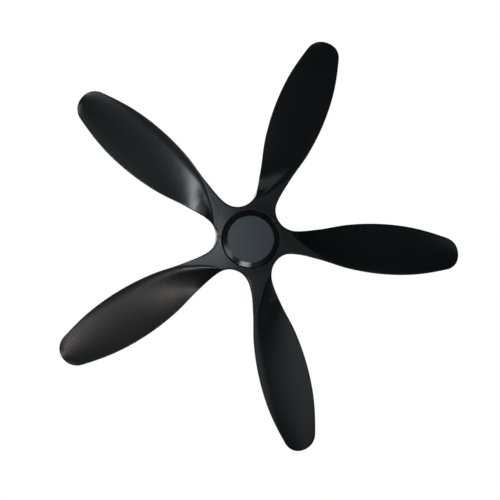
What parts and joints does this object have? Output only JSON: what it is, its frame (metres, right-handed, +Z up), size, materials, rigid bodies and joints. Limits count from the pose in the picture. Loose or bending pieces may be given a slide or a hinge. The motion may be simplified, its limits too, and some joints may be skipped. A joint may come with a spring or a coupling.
{
  "type": "ceiling fan with light",
  "caption": "Ceiling fan with five broad propeller blades in matte black, a flat round light in its hub, and a downrod, canopy and ball hanger above.",
  "frame": {"origin": "centre of the ceiling bracket's top face, on the fan's spin axis", "axes": "+Z up, out of the bracket's top face into the ceiling; +X along blade_1"},
  "size_m": [1.2039, 1.2604, 0.346],
  "materials": {
    "blade_black": "fine moulded matte",
    "body_black": "matte powder coat",
    "pan_black": "matte",
    "lens_smoke": "smooth frosted, unlit",
    "zinc_steel": "bright zinc",
    "black_screw": "black oxide",
    "cast_steel": "black e-coat",
    "ball_nylon": "natural nylon",
    "cap_aluminium": "die cast",
    "lamination": "varnished laminations",
    "copper_wire": "enamelled copper",
    "bobbin_nylon": "moulded nylon",
    "board_green": "solder mask",
    "magnet_nickel": "nickel plate",
    "bearing_steel": "ground steel",
    "cage_steel": "pressed steel",
    "receiver_grey": "moulded case",
    "driver_white": "moulded case",
    "board_white": "white solder mask",
    "led_yellow": "phosphor"
  },
  "bodies": {
    "ceiling_mount": {"mounting_bracket": "zinc_steel", "canopy": "body_black", "canopy_screws": "black_screw", "terminal_block": "bobbin_nylon", "remote_receiver": "receiver_grey"},
    "fan_body": {"hanger_ball": "ball_nylon", "ball_cross_pin": "zinc_steel", "ball_set_screw": "zinc_steel", "downrod": "body_black", "motor_yoke": "cast_steel", "yoke_pin": "zinc_steel", "yoke_pin_clip": "zinc_steel", "yoke_set_screws": "zinc_steel", "coupling_cover": "body_black", "motor_housing": "body_black", "housing_screws": "black_screw", "motor_shaft": "zinc_steel", "stator_core": "lamination", "coil_bobbins": "bobbin_nylon", "stator_windings": "copper_wire", "driver_board": "board_green", "board_standoffs": "bobbin_nylon", "upper_bearing_inner": "bearing_steel", "lower_bearing_inner": "bearing_steel", "circlips": "zinc_steel", "light_plate": "zinc_steel", "light_plate_nuts": "zinc_steel", "light_pan": "pan_black", "light_screws": "zinc_steel", "led_driver": "driver_white", "led_board": "board_white", "led_chips": "led_yellow", "led_board_screws": "zinc_steel"},
    "rotor": {"rotor_top_cap": "cap_aluminium", "rotor_bottom_cap": "cap_aluminium", "rotor_ring": "lamination", "magnets": "magnet_nickel", "rotor_screws": "zinc_steel", "upper_bearing_outer": "bearing_steel", "lower_bearing_outer": "bearing_steel", "blade_1": "blade_black", "blade_2": "blade_black", "blade_3": "blade_black", "blade_4": "blade_black", "blade_5": "blade_black", "blade_screws": "black_screw"},
    "upper_bearing_train": {"upper_bearing_cage": "cage_steel", "upper_bearing_balls": "bearing_steel"},
    "lower_bearing_train": {"lower_bearing_cage": "cage_steel", "lower_bearing_balls": "bearing_steel"},
    "lens_body": {"lens": "lens_smoke"}
  },
  "joints": [
    {"name": "hanger_swing", "type": "hinge", "parent": "ceiling_mount", "child": "fan_body", "pos_m": [0, 0, -0.046], "axis": [1, 0, 0], "range_deg": [-15, 15]},
    {"name": "rotor_spin", "type": "hinge", "parent": "fan_body", "child": "rotor", "pos_m": [0, 0, -0.272], "axis": [0, 0, 1], "continuous": true},
    {"name": "upper_cage_spin", "type": "hinge", "parent": "fan_body", "child": "upper_bearing_train", "pos_m": [0, 0, -0.2515], "axis": [0, 0, 1], "continuous": true},
    {"name": "lower_cage_spin", "type": "hinge", "parent": "fan_body", "child": "lower_bearing_train", "pos_m": [0, 0, -0.2925], "axis": [0, 0, 1], "continuous": true},
    {"name": "lens_twist", "type": "hinge", "parent": "fan_body", "child": "lens_body", "pos_m": [0, 0, -0.346], "axis": [0, 0, 1], "range_deg": [0, 15]}
  ],
  "couplings": [
    {"joint": "upper_cage_spin", "follows": "rotor_spin", "ratio": 0.62},
    {"joint": "lower_cage_spin", "follows": "rotor_spin", "ratio": 0.62}
  ]
}
